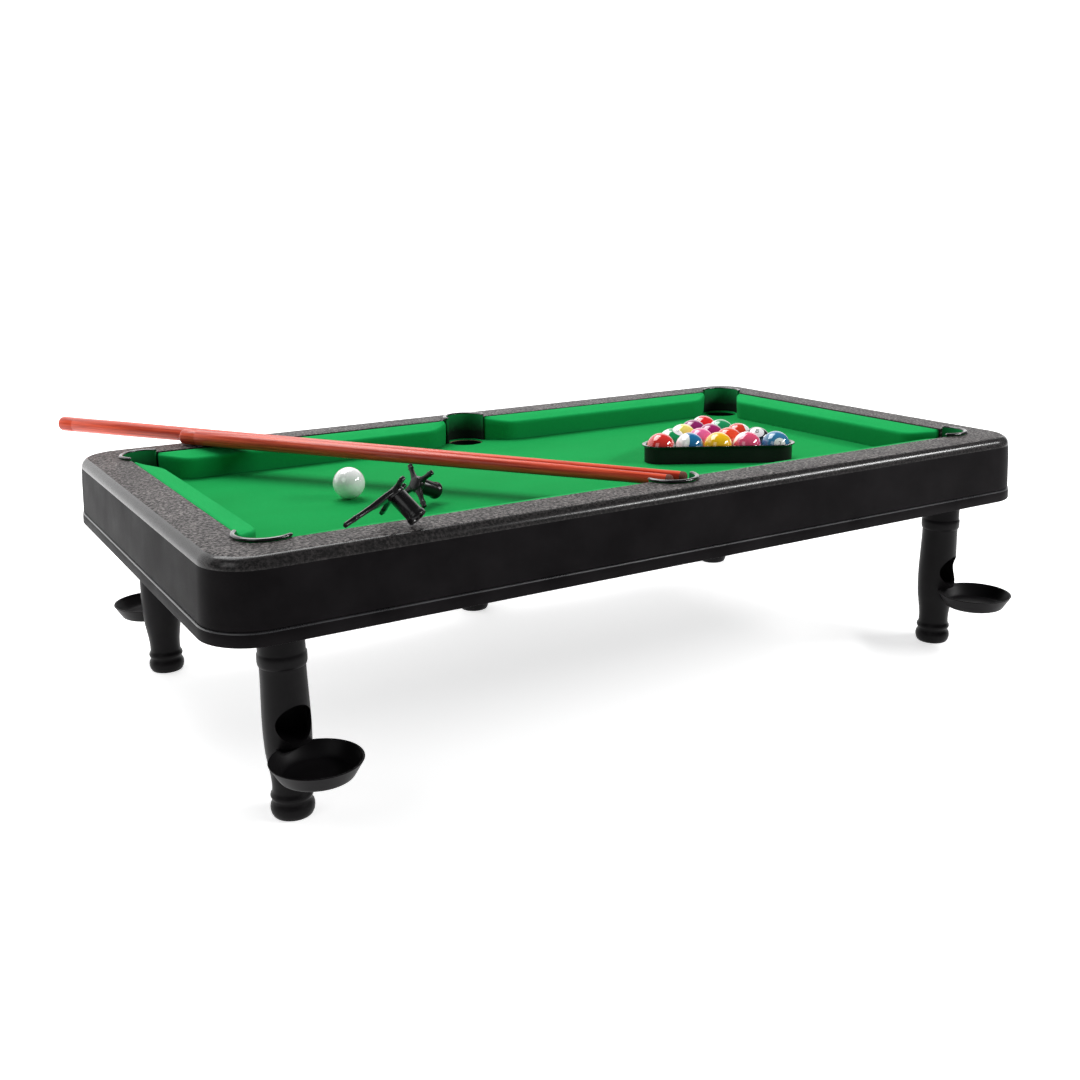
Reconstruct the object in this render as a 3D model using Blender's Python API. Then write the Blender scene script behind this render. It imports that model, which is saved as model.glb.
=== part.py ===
"""Mini pool table: moulded rail frame, felted bed, six pockets, five ball-return legs and the game set.

Units are metres and +Z is up. The origin is the centre of the table's flat underside, +X runs
along the table and -Y is its front. Dimensions written as n * MM are millimetres.
"""
import math

import bmesh
import bpy
from mathutils import Matrix, Vector

MM = 0.001
GAP = 0.3 * MM

# Rail frame, seen from above: outline of the top, corner radius, rail width and wall draft
LENGTH = 700 * MM
WIDTH = 396 * MM
CORNER_R = 33 * MM
RAIL_W = 33.5 * MM
DRAFT = 0.05
WALL = 3 * MM
EDGE_R = 7.8 * MM

# Levels above the underside
RAIL_TOP = 54 * MM
PARTING = 9.3 * MM
CLOTH_TOP = 31 * MM
CLOTH_T = 0.8 * MM
BED_T = 6 * MM
PAN_T = 3 * MM
LEG_TOP = 14.5 * MM

BED_TOP = CLOTH_TOP - CLOTH_T - GAP
BED_UNDER = BED_TOP - BED_T
INNER_X = LENGTH / 2 - RAIL_W
INNER_Y = WIDTH / 2 - RAIL_W

# Balls, pockets and legs
BALL_R = 12.4 * MM
HOLE_R = 16 * MM
FUNNEL_R = 19.5 * MM
CORNER_POCKET = Vector((302.5 * MM, 149 * MM))
MIDDLE_POCKET = Vector((0, 162 * MM))
RIM_R = 17.5 * MM
RIM_T = 2 * MM
LIP_H = 2.5 * MM
CORNER_SWEEP = 168
MIDDLE_SWEEP = 184
BED_MARGIN = 17 * MM
LEG_X = 301 * MM
LEG_Y = 154.5 * MM
LEG_BORE_R = 13.2 * MM
SOCKET_R = 15.7 * MM
EXIT_R = 12.9 * MM
EXIT_Z = -66.8 * MM
DISH_R = 30 * MM
DISH_FOOT_R = 23.5 * MM
DISH_H = 11.5 * MM
DISH_RIM_Z = -82.5 * MM
DISH_OFFSET = 36 * MM

# Cushions: width of the cloth-covered strip, and its height at the rail and at the nose
CUSHION_W = 20.5 * MM
CUSHION_BACK = RAIL_TOP - 1 * MM
CUSHION_NOSE = RAIL_TOP - 4.5 * MM
CUSHION_ROUND = 9 * MM
CUSHION_MITRE = 19 * MM
CUSHION_TIP = 4 * MM

# Triangle rack with its fifteen balls, and the cue ball
RACK_FRONT = Vector((140 * MM, -45.5 * MM))
RACK_TURN = math.radians(-30)
RACK_PITCH = 2 * BALL_R + GAP
RACK_WALL = 1.5 * MM
RACK_H = 15.5 * MM
CUE_BALL_AT = (-185.4 * MM, 1.0 * MM)

# Cues
CUE_BUTT_R = 6.4 * MM
CUE_TIP_R = 4.2 * MM

SEGMENTS = 18
BALL_SEGMENTS = 12
BALL_RINGS = 6

# Each leg: its place, and the compass angle that its exit hole and dish face
LEGS = {
    "front_left": (-LEG_X + 2 * MM, -LEG_Y, -81),
    "front_right": (LEG_X + 2 * MM, -LEG_Y, -75),
    "back_left": (-LEG_X, LEG_Y, 92),
    "back_middle": (0, LEG_Y, 90),
    "back_right": (LEG_X, LEG_Y, 90),
}
# Each pocket: its hole, and the compass angle from the hole to the middle of its curved wall
POCKETS = {
    "front_left": (-CORNER_POCKET.x, -CORNER_POCKET.y, -135),
    "front_middle": (0, -MIDDLE_POCKET.y, -90),
    "front_right": (CORNER_POCKET.x, -CORNER_POCKET.y, -45),
    "back_left": (-CORNER_POCKET.x, CORNER_POCKET.y, 135),
    "back_middle": (0, MIDDLE_POCKET.y, 90),
    "back_right": (CORNER_POCKET.x, CORNER_POCKET.y, 45),
}
# The racked balls, row by row from the row behind the front wall
RACKED = [
    ["red", "blue", "yellow", "pink", "navy"],
    ["green", "rose", "orange", "black"],
    ["gold", "purple", "vermilion"],
    ["violet", "emerald"],
    ["scarlet"],
]

MATERIALS = {
    # name: (linear colour, roughness, metallic)
    "rail_black": ((0.05, 0.048, 0.048), 0.5, 0.0),
    "satin_black": ((0.012, 0.012, 0.013), 0.38, 0.0),
    "gloss_black": ((0.008, 0.008, 0.009), 0.12, 0.0),
    "felt": ((0.012, 0.42, 0.10), 0.9, 0.0),
    "board": ((0.33, 0.22, 0.12), 0.7, 0.0),
    "cue_red": ((0.42, 0.10, 0.045), 0.25, 0.0),
    "leather": ((0.10, 0.13, 0.22), 0.8, 0.0),
    "white": ((0.85, 0.85, 0.83), 0.08, 0.0),
    "red": ((0.75, 0.03, 0.02), 0.08, 0.0),
    "blue": ((0.02, 0.17, 0.42), 0.08, 0.0),
    "yellow": ((0.85, 0.55, 0.01), 0.08, 0.0),
    "pink": ((0.85, 0.16, 0.26), 0.08, 0.0),
    "navy": ((0.03, 0.15, 0.34), 0.08, 0.0),
    "green": ((0.01, 0.35, 0.13), 0.08, 0.0),
    "rose": ((0.85, 0.18, 0.32), 0.08, 0.0),
    "orange": ((0.80, 0.12, 0.02), 0.08, 0.0),
    "black": ((0.01, 0.01, 0.012), 0.08, 0.0),
    "gold": ((0.85, 0.60, 0.05), 0.08, 0.0),
    "purple": ((0.32, 0.02, 0.16), 0.08, 0.0),
    "vermilion": ((0.65, 0.07, 0.02), 0.08, 0.0),
    "violet": ((0.36, 0.03, 0.20), 0.08, 0.0),
    "emerald": ((0.02, 0.30, 0.14), 0.08, 0.0),
    "scarlet": ((0.78, 0.02, 0.02), 0.08, 0.0),
}


def clear_scene():
    for obj in list(bpy.data.objects):
        bpy.data.objects.remove(obj, do_unlink=True)


def make_collection(name):
    collection = bpy.data.collections.new(name)
    bpy.context.scene.collection.children.link(collection)
    return collection


def make_materials():
    made = {}
    for name, (colour, roughness, metallic) in MATERIALS.items():
        material = bpy.data.materials.new(name)
        material.use_nodes = True
        shader = material.node_tree.nodes["Principled BSDF"]
        shader.inputs["Base Color"].default_value = (*colour, 1)
        shader.inputs["Roughness"].default_value = roughness
        shader.inputs["Metallic"].default_value = metallic
        made[name] = material
    return made


clear_scene()
PARTS = make_collection("mini_pool_table")
CUTTERS = make_collection("cutters")
MATERIAL = make_materials()


def add(name, bm, material, parent=None, at=(0, 0, 0)):
    """Link a finished bmesh as one named part, shaded smooth with crisp edges."""
    mesh = bpy.data.meshes.new(name)
    bmesh.ops.recalc_face_normals(bm, faces=bm.faces)
    bm.to_mesh(mesh)
    bm.free()
    mesh.materials.append(MATERIAL[material])
    mesh.shade_smooth()
    mesh.set_sharp_from_angle(angle=math.radians(35))
    obj = bpy.data.objects.new(name, mesh)
    PARTS.objects.link(obj)
    obj.parent = parent
    obj.location = at
    return obj


def empty(name, at, parent=None, turn=0.0):
    obj = bpy.data.objects.new(name, None)
    PARTS.objects.link(obj)
    obj.parent = parent
    obj.location = at
    obj.rotation_euler = (0, 0, turn)
    return obj


def boolean(obj, operation, bm, parent=None, at=(0, 0, 0)):
    """Join or cut a part with the solid in bm, which is kept as a hidden guide."""
    bmesh.ops.recalc_face_normals(bm, faces=bm.faces)
    mesh = bpy.data.meshes.new(obj.name + "_cutter")
    bm.to_mesh(mesh)
    bm.free()
    cutter = bpy.data.objects.new(mesh.name, mesh)
    CUTTERS.objects.link(cutter)
    cutter.parent = parent
    cutter.location = at
    cutter.hide_render = True
    cutter.display_type = "WIRE"
    modifier = obj.modifiers.new(operation.lower(), "BOOLEAN")
    modifier.operation = operation
    modifier.object = cutter
    modifier.solver = "EXACT"


def cylinder(radius, low, high, segments=SEGMENTS, centre=(0, 0), radius_high=None):
    """A bmesh cylinder or cone between two levels."""
    bm = bmesh.new()
    top = radius if radius_high is None else radius_high
    place = Matrix.Translation((centre[0], centre[1], (low + high) / 2))
    bmesh.ops.create_cone(bm, cap_ends=True, segments=segments, radius1=radius, radius2=top,
                          depth=high - low, matrix=place)
    return bm


def block(low, high):
    """A bmesh box between two corners."""
    bm = bmesh.new()
    low, high = Vector(low), Vector(high)
    bmesh.ops.create_cube(bm, size=1, matrix=Matrix.LocRotScale((low + high) / 2, None, high - low))
    return bm


def rounded_rectangle(half_x, half_y, radius, steps=6):
    """Points anticlockwise round a rectangle with rounded corners."""
    points = []
    for corner, (sx, sy) in enumerate(((1, 1), (-1, 1), (-1, -1), (1, -1))):
        for step in range(steps + 1):
            angle = math.pi / 2 * (corner + step / steps)
            points.append((sx * (half_x - radius) + radius * math.cos(angle),
                           sy * (half_y - radius) + radius * math.sin(angle)))
    return points


def loft(rings, closed):
    """Skin a run of rings, each with the same number of points, into one solid.

    A closed run returns to its first ring and makes a tube; an open run is capped at both ends.
    """
    bm = bmesh.new()
    rows = [[bm.verts.new(point) for point in ring] for ring in rings]
    following = rows[1:] + rows[:1] if closed else rows[1:]
    for row, after in zip(rows, following):
        for i in range(len(row)):
            j = (i + 1) % len(row)
            bm.faces.new((row[i], row[j], after[j], after[i]))
    if not closed:
        bm.faces.new(rows[0])
        bm.faces.new(rows[-1])
    return bm


def nested(levels, closed):
    """Loft rounded rectangles of the table's outline, each given as (inset, z)."""
    return loft([[(x, y, z) for x, y in rounded_rectangle(
        LENGTH / 2 - inset, WIDTH / 2 - inset, max(CORNER_R - inset, MM))] for inset, z in levels], closed)


def turned(profile, segments=SEGMENTS):
    """Spin a (radius, z) profile once round the Z axis.

    A profile that starts on the axis also ends on it; any other is a closed ring.
    """
    bm = bmesh.new()
    verts = [bm.verts.new((r, 0, z)) for r, z in profile]
    ring = profile[0][0] > 0
    ends = zip(verts, verts[1:] + verts[:1]) if ring else zip(verts, verts[1:])
    edges = [bm.edges.new(pair) for pair in ends]
    bmesh.ops.spin(bm, geom=verts + edges, cent=(0, 0, 0), axis=(0, 0, 1), angle=2 * math.pi,
                   steps=segments, use_merge=True)
    bmesh.ops.remove_doubles(bm, verts=bm.verts, dist=0.001 * MM)
    return bm


def extruded(outline, low, high):
    """A prism of a plan outline between two levels."""
    bm = bmesh.new()
    face = bm.faces.new([bm.verts.new((x, y, low)) for x, y in outline])
    grown = bmesh.ops.extrude_face_region(bm, geom=[face])
    top = [item for item in grown["geom"] if isinstance(item, bmesh.types.BMVert)]
    bmesh.ops.translate(bm, verts=top, vec=(0, 0, high - low))
    return bm


def outset(z):
    """How far the drafted outer wall stands outside the top outline at a level."""
    return (RAIL_TOP - z) * DRAFT


def rail_frame(root):
    """An upturned channel: outer wall with a rounded top edge, flat deck and short inner wall."""
    low = PARTING + GAP
    rounded = [(EDGE_R * (1 - math.sin(a)), RAIL_TOP - EDGE_R * (1 - math.cos(a)))
               for a in (math.radians(d) for d in (90, 60, 30, 0))]
    levels = [(-outset(low), low)] + rounded
    levels += [(RAIL_W, RAIL_TOP), (RAIL_W, CLOTH_TOP + GAP)]
    levels += [(RAIL_W - WALL, CLOTH_TOP + GAP), (RAIL_W - WALL, RAIL_TOP - WALL)]
    levels += [(WALL + EDGE_R / 2, RAIL_TOP - WALL), (WALL, RAIL_TOP - EDGE_R)]
    levels += [(WALL - outset(low), low)]
    obj = add("rail_frame", nested(levels, True), "rail_black", root)
    for x, y, _ in POCKETS.values():
        hole = cylinder(RIM_R + RIM_T + GAP, CLOTH_TOP - 5 * MM, RAIL_TOP + 5 * MM, 32, (x, y))
        boolean(obj, "DIFFERENCE", hole, root)


def base_pan(root):
    """The tray under the frame: a proud lower band, a floor, and a raised ledge for the bed."""
    band = 0.8 * MM
    low, high = 0, PARTING
    levels = [(-outset(low) - band, low), (-outset(high) - band, high), (MM, high)]
    levels += [(MM, PAN_T), (36 * MM, PAN_T), (36 * MM, BED_UNDER - GAP)]
    levels += [(39 * MM, BED_UNDER - GAP), (39 * MM, PAN_T)]
    obj = add("base_pan", nested(levels, False), "rail_black", root)
    for x in (-LENGTH / 6, LENGTH / 6):
        rib = block((x - MM, -WIDTH / 2 + 38 * MM, 1 * MM), (x + MM, WIDTH / 2 - 38 * MM, BED_UNDER - GAP))
        boolean(obj, "UNION", rib, root)
    for x, y, _ in LEGS.values():
        boolean(obj, "UNION", cylinder(SOCKET_R + 2.5 * MM, MM, LEG_TOP - MM, centre=(x, y)), root)
    for x, y, _ in LEGS.values():
        boolean(obj, "DIFFERENCE", cylinder(SOCKET_R, -5 * MM, BED_UNDER + MM, centre=(x, y)), root)
    for name, (x, y, _) in POCKETS.items():
        low = PAN_T
        if name in LEGS:
            low = LEG_TOP
            y = (y + LEGS[name][1]) / 2
        clear = cylinder(FUNNEL_R + 3 * MM, low, BED_UNDER + MM, centre=(x, y))
        boolean(obj, "DIFFERENCE", clear, root)


def board_outline():
    """Plan of the board: a rectangle whose corners are cut off straight beside the corner pockets."""
    x = INNER_X + BED_MARGIN
    y = INNER_Y + BED_MARGIN
    reach = CORNER_POCKET.x + CORNER_POCKET.y - math.sqrt(2) * (HOLE_R + 0.5 * MM)
    right = [(x, x - reach), (x, reach - x), (reach - y, y)]
    return right + [(y - reach, y), (-x, reach - x), (-x, x - reach), (y - reach, -y), (reach - y, -y)]


def playing_bed(root):
    """The board that carries the cloth, with a round hole for each middle pocket."""
    obj = add("playing_bed", extruded(board_outline(), BED_UNDER, BED_TOP), "board", root)
    for name in ("front_middle", "back_middle"):
        x, y, _ = POCKETS[name]
        hole = cylinder(HOLE_R, BED_UNDER - 5 * MM, BED_TOP + 5 * MM, centre=(x, y))
        boolean(obj, "DIFFERENCE", hole, root)


def bed_cloth(root):
    """The green cloth glued over the board."""
    outline = rounded_rectangle(INNER_X + BED_MARGIN, INNER_Y + BED_MARGIN, 16 * MM)
    obj = add("bed_cloth", extruded(outline, BED_TOP + GAP, CLOTH_TOP), "felt", root)
    for x, y, _ in POCKETS.values():
        hole = cylinder(HOLE_R, BED_TOP - 5 * MM, CLOTH_TOP + 5 * MM, centre=(x, y))
        boolean(obj, "DIFFERENCE", hole, root)


def cushion_outline(length):
    """Plan of a cushion along +X, its back on y = 0, each end slanting in to a rounded nose corner."""
    half = length / 2
    corner = Vector((half - CUSHION_MITRE, CUSHION_W))
    start = corner.lerp(Vector((half, CUSHION_TIP)), 0.4)
    finish = corner - Vector((CUSHION_ROUND, 0))
    right = [(half, 0), (half, CUSHION_TIP)]
    for step in range(5):
        t = step / 4
        point = start.lerp(corner, t).lerp(corner.lerp(finish, t), t)
        right.append((point.x, point.y))
    return right + [(-x, y) for x, y in reversed(right)]


def cushion(name, root, at, turn, length):
    """A cloth-covered rail cushion whose top slopes down from the rail to its nose."""
    bm = extruded(cushion_outline(length), CLOTH_TOP + GAP, CUSHION_BACK)
    for vert in bm.verts:
        if vert.co.z > CLOTH_TOP + MM:
            vert.co.z += (CUSHION_NOSE - CUSHION_BACK) * vert.co.y / CUSHION_W
    obj = add(name, bm, "felt", root, (*at, 0))
    obj.rotation_euler = (0, 0, turn)


def cushions(root):
    """Two cushions along each side, from corner to middle pocket, and one along each end."""
    side_start = MIDDLE_POCKET.x + RIM_R + RIM_T + 2 * MM
    side_end = CORNER_POCKET.x - 13.2 * MM
    side_at = (side_start + side_end) / 2
    back_y = INNER_Y - GAP
    back_x = INNER_X - GAP
    side_length = side_end - side_start
    end_length = 2 * (CORNER_POCKET.y - 14.7 * MM)
    cushion("cushion_front_left", root, (-side_at, -back_y), 0, side_length)
    cushion("cushion_front_right", root, (side_at, -back_y), 0, side_length)
    cushion("cushion_back_left", root, (-side_at, back_y), math.pi, side_length)
    cushion("cushion_back_right", root, (side_at, back_y), math.pi, side_length)
    cushion("cushion_left", root, (-back_x, 0), -math.pi / 2, end_length)
    cushion("cushion_right", root, (back_x, 0), math.pi / 2, end_length)


def pocket_rim(name, root, at, facing, sweep):
    """The curved wall behind a pocket, with a rolled lip standing proud of the rail."""
    low, high = CLOTH_TOP + GAP, RAIL_TOP + LIP_H
    outer = RIM_R + RIM_T
    lip = 1.2 * MM
    profile = [(RIM_R, low), (outer, low), (outer, RAIL_TOP + GAP), (outer + lip, RAIL_TOP + 2 * GAP),
               (outer + lip * 0.6, high - GAP), (outer - lip / 2, high), (RIM_R, high - lip / 2)]
    steps = 14
    turns = [math.radians(facing - sweep / 2 + sweep * step / steps) for step in range(steps + 1)]
    sections = [[(r * math.cos(a), r * math.sin(a), z) for r, z in profile] for a in turns]
    add(name, loft(sections, False), "gloss_black", root, (*at, 0))


def circle(centre, radius, z):
    """Points round a level circle."""
    turns = (2 * math.pi * i / SEGMENTS for i in range(SEGMENTS))
    return [(centre[0] + radius * math.cos(a), centre[1] + radius * math.sin(a), z) for a in turns]


def pocket_chute(name, root, pocket, leg_at):
    """A sleeve through the bed that widens beneath it and funnels a ball into the leg's bore."""
    wall = 1.2 * MM
    sleeve = HOLE_R - GAP
    between = (pocket[0], (pocket[1] + leg_at[1]) / 2)
    under = BED_UNDER - GAP
    stations = [(pocket, sleeve, CLOTH_TOP), (pocket, sleeve, under), (between, FUNNEL_R, under),
                (between, FUNNEL_R, under - 2 * MM), (leg_at, LEG_BORE_R + wall, LEG_TOP + GAP),
                (leg_at, LEG_BORE_R, LEG_TOP + GAP), (between, FUNNEL_R - wall, under - 2 * MM),
                (pocket, sleeve - wall, under - wall), (pocket, sleeve - wall, CLOTH_TOP)]
    add(name, loft([circle(*station) for station in stations], True), "satin_black", root)


def pocket_cup(name, root, pocket):
    """A closed cup for the one pocket without a leg: it holds the ball."""
    outer, inner = HOLE_R - GAP, HOLE_R - GAP - 1.2 * MM
    low, high = PAN_T + GAP, CLOTH_TOP
    profile = [(0, low), (outer - MM, low), (outer, high), (inner, high),
               (inner - MM, low + 1.5 * MM), (0, low + 1.5 * MM)]
    add(name, turned(profile), "satin_black", root, (*pocket, 0))


def pockets(root):
    for name, (x, y, facing) in POCKETS.items():
        sweep = MIDDLE_SWEEP if name.endswith("middle") else CORNER_SWEEP
        pocket_rim("pocket_rim_" + name, root, (x, y), facing, sweep)
        if name in LEGS:
            pocket_chute("pocket_chute_" + name, root, (x, y), LEGS[name][:2])
        else:
            pocket_cup("pocket_cup_" + name, root, (x, y))


def leg(name, root, at, facing):
    """A turned, hollow leg with a bore for the balls, an exit hole and a slot for its dish."""
    pivot = empty("pivot_" + name, (*at, 0), root, math.radians(facing))
    outer = [(15.2, 14.5), (15.2, -23), (15.9, -26), (15.9, -29), (14.8, -36), (15.3, -52),
             (15.7, -72), (15.2, -87), (13.2, -101), (12.4, -111), (12.7, -117), (13.8, -119.5),
             (12.7, -123), (14.3, -127), (14.3, -130), (13.0, -134)]
    foot = [(0, -134)]
    bore = [(0, -81), (13.2, -79.6), (13.2, 14.5)]
    solid = turned([(r * MM, z * MM) for r, z in bore + outer + foot])
    obj = add("leg_" + name, solid, "satin_black", pivot)
    exit_hole = cylinder(EXIT_R, 0, 25 * MM)
    bmesh.ops.transform(exit_hole, matrix=Matrix.Translation((0, 0, EXIT_Z)) @
                        Matrix.Rotation(math.pi / 2, 4, "Y"), verts=exit_hole.verts)
    boolean(obj, "DIFFERENCE", exit_hole, pivot)
    slot = cylinder(DISH_FOOT_R + 0.5 * MM, DISH_RIM_Z - DISH_H - 0.5 * MM, DISH_RIM_Z + 0.5 * MM,
                    centre=(DISH_OFFSET, 0), radius_high=DISH_R + 0.8 * MM)
    boolean(obj, "DIFFERENCE", slot, pivot)
    return pivot


def ball_dish(name, pivot):
    """The open dish that catches the balls, clipped into the leg's slot."""
    wall = 1.6 * MM
    low, high = DISH_RIM_Z - DISH_H, DISH_RIM_Z
    profile = [(0, low), (DISH_FOOT_R, low), (DISH_R, high), (DISH_R - wall, high),
               (DISH_FOOT_R - wall * 0.6, low + wall), (0, low + wall)]
    add("dish_" + name, turned(profile, 24), "satin_black", pivot, (DISH_OFFSET, 0, 0))


def cue(name, root, butt, tip):
    """A tapered cue lying across the table, with a leather tip glued to its end."""
    butt, tip = Vector(butt) * MM, Vector(tip) * MM
    along = tip - butt
    tip_length = 5 * MM
    length = along.length - tip_length
    turn = along.to_track_quat("Z", "Y")
    shaft = [(0, 0), (CUE_BUTT_R - MM, 0), (CUE_BUTT_R, MM), (CUE_BUTT_R, length * 0.12),
             (CUE_TIP_R, length), (0, length)]
    end = [(0, length + GAP), (CUE_TIP_R, length + GAP), (CUE_TIP_R, along.length - MM),
           (CUE_TIP_R * 0.6, along.length), (0, along.length)]
    for part, profile, material in ((name, shaft, "cue_red"), (name + "_tip", end, "leather")):
        obj = add(part, turned(profile, 14), material, root, butt)
        obj.rotation_euler = turn.to_euler()


def rack_outline(inset):
    """Points round a triangle with rounded corners; inset 0 is the balls' own outline."""
    reach = 2 * RACK_PITCH
    height = 4 * RACK_PITCH * math.sin(math.pi / 3)
    corners = [(reach, 0, -90), (0, height, 30), (-reach, 0, 150)]
    radius = BALL_R + GAP + inset
    points = []
    for x, y, start in corners:
        for step in range(6):
            angle = math.radians(start + 120 * step / 5)
            points.append((x + radius * math.cos(angle), y + radius * math.sin(angle)))
    return points


def rack(root):
    """The triangle that holds the balls: a thin wall with an outward lip along its top."""
    lip = 2.2 * MM
    low, high = CLOTH_TOP + GAP, CLOTH_TOP + GAP + RACK_H
    levels = [(0, low), (RACK_WALL, low), (RACK_WALL, high - 2 * MM), (RACK_WALL + lip, high - 0.8 * MM),
              (RACK_WALL + lip, high), (0, high)]
    rings = [[(x, y, z) for x, y in rack_outline(inset)] for inset, z in levels]
    obj = add("rack", loft(rings, True), "gloss_black", root, (*RACK_FRONT, 0))
    obj.rotation_euler = (0, 0, RACK_TURN)


def ball(name, root, colour, at):
    bm = bmesh.new()
    bmesh.ops.create_uvsphere(bm, u_segments=BALL_SEGMENTS, v_segments=BALL_RINGS, radius=BALL_R)
    add("ball_" + name, bm, colour, root, (*at, CLOTH_TOP + BALL_R + GAP))


def balls(root):
    """Fifteen balls in the rack, row behind row, and the white cue ball."""
    along = Vector((math.cos(RACK_TURN), math.sin(RACK_TURN)))
    behind = Vector((-along.y, along.x)) * math.sin(math.pi / 3)
    for row, colours in enumerate(RACKED):
        for place, colour in enumerate(colours):
            offset = (place - (len(colours) - 1) / 2) * RACK_PITCH
            ball(colour, root, colour, RACK_FRONT + along * offset + behind * row * RACK_PITCH)
    ball("cue", root, "white", CUE_BALL_AT)


def rest_head(name, root, at, aim, arm, reaches):
    """A cross rest for a cue's end: a socket, and four flat tapered arms spread from its hub.

    The socket lies along aim and the first of the arms along arm; reaches are the arms' lengths.
    """
    socket = [(4.0, 3), (5.2, 3), (5.2, 18.5), (6.2, 20), (6.2, 22.5), (4.0, 22.5)]
    hub = turned([(r * MM, z * MM) for r, z in [(0, -2), (6, -2), (6.4, 0), (6.4, 3.2), (0, 3.2)]], 12)
    obj = add(name, turned([(r * MM, z * MM) for r, z in socket], 12), "gloss_black", root)
    z_axis = Vector(aim).normalized()
    y_axis = z_axis.cross(Vector(arm)).normalized()
    obj.location = Vector(at) * MM
    obj.rotation_euler = Matrix((y_axis.cross(z_axis), y_axis, z_axis)).transposed().to_euler()
    boolean(obj, "UNION", hub, obj)
    for quarter, reach in enumerate(reaches):
        wide, narrow = (9 * MM, 4 * MM) if reach > 30 else (5.5 * MM, 4 * MM)
        blade = block((3 * MM, -wide / 2, -1.8 * MM), (reach * MM, wide / 2, 2 * MM))
        for vert in blade.verts:
            if vert.co.x > 5 * MM:
                vert.co.y *= narrow / wide
        turn = Matrix.Rotation(math.pi / 2 * quarter, 3, "Z")
        bmesh.ops.rotate(blade, verts=blade.verts, matrix=turn)
        boolean(obj, "UNION", blade, obj)


def build():
    root = empty("table_origin", (0, 0, 0))
    rail_frame(root)
    base_pan(root)
    playing_bed(root)
    bed_cloth(root)
    cushions(root)
    pockets(root)
    for name, (x, y, facing) in LEGS.items():
        ball_dish(name, leg(name, root, (x, y), facing))
    cue("cue_long", root, (-338.5, 304.5, 63), (12, -166, 53.5))
    cue("cue_short", root, (-262.6, 180.9, 61.3), (0, -165, 52.5))
    rack(root)
    balls(root)
    rest_head("rest_head_near", root, (-224.5, -171.6, 74.3), (0.427, -0.6, -0.676),
              (-0.903, -0.319, -0.287), (44, 25, 10, 17))
    rest_head("rest_head_far", root, (-153.3, -52.4, 48.6), (0.865, 0.31, -0.395),
              (-0.499, 0.625, -0.6), (20, 18, 17, 21))


build()
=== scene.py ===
"""Looks of the mini pool table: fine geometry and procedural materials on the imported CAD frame.

Units are metres in the part's own frame: the origin is the centre of the table's flat underside,
+X runs along the table, -Y is its front and +Z is up.
"""
import math

import bmesh
import bpy
from mathutils import Matrix, Vector


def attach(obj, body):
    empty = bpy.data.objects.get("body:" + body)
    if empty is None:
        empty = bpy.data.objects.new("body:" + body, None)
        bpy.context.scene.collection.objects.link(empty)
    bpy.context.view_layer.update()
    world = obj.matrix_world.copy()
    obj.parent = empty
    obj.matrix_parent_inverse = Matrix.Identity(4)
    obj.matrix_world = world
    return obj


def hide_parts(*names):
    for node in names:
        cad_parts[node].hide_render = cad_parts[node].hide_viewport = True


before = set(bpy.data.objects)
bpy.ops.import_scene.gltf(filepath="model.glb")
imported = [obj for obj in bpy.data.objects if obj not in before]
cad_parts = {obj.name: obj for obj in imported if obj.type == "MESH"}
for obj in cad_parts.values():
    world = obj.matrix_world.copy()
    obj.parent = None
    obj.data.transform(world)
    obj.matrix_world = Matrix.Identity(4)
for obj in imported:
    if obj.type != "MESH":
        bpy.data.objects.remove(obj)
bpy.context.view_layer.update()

MM = 0.001
GAP = 0.3 * MM

# Rail frame and base pan
LENGTH = 700 * MM
WIDTH = 396 * MM
CORNER_R = 33 * MM
RAIL_W = 33.5 * MM
DRAFT = 0.05
WALL = 3 * MM
EDGE_R = 7.8 * MM
RAIL_TOP = 54 * MM
PARTING = 9.3 * MM
BAND = 0.8 * MM
CLOTH_TOP = 31 * MM
BED_UNDER = 23.9 * MM
PAN_T = 3 * MM
FLOOR = -134 * MM
LEG_TOP = 14.5 * MM
INNER_X = LENGTH / 2 - RAIL_W
INNER_Y = WIDTH / 2 - RAIL_W

# Balls, pockets and legs
BALL_R = 12.4 * MM
HOLE_R = 16 * MM
FUNNEL_R = 19.5 * MM
CHUTE_WALL = 1.2 * MM
CHUTE_TOP = CLOTH_TOP - 1.5 * MM
RIM_R = 17.5 * MM
RIM_T = 2 * MM
LIP_HALF_W = 1.65 * MM
LIP_HALF_H = 1.15 * MM
LIP_RISE = 1.5 * MM
LIP_SHORT = 3
LEG_X = 301 * MM
LEG_Y = 154.5 * MM
POCKET_X = 302.5 * MM
POCKET_Y = 149 * MM
MIDDLE_Y = 162 * MM
BED_MARGIN = 17 * MM
BED_CORNER_R = 16 * MM
CLOTH_T = 0.6 * MM
LEG_BORE_R = 13.2 * MM
SOCKET_R = 15.7 * MM
SOCKET_WALL = 2.5 * MM
EXIT_R = 12.9 * MM
EXIT_Z = -66.8 * MM
DISH_R = 30 * MM
DISH_FOOT_R = 23.5 * MM
DISH_H = 11.5 * MM
DISH_RIM_Z = -82.5 * MM
DISH_OFFSET = 36 * MM

# Cushions
CUSHION_W = 20.5 * MM
CUSHION_BACK = RAIL_TOP - 1 * MM
CUSHION_NOSE = RAIL_TOP - 4.5 * MM
CUSHION_ROUND = 9 * MM
CUSHION_MITRE = 19 * MM
CUSHION_TIP = 4 * MM
CUSHION_END_R = 1.2 * MM
CUSHION_HALF_H = 14 * MM
CUSHION_MIDDLE = 9 * MM
NOSE_R = 2.6 * MM
CUSHION_PAST_MIDDLE_RIM = 2 * MM
CUSHION_PAST_CORNER_X = 13.2 * MM
CUSHION_PAST_CORNER_Y = 14.7 * MM

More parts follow.
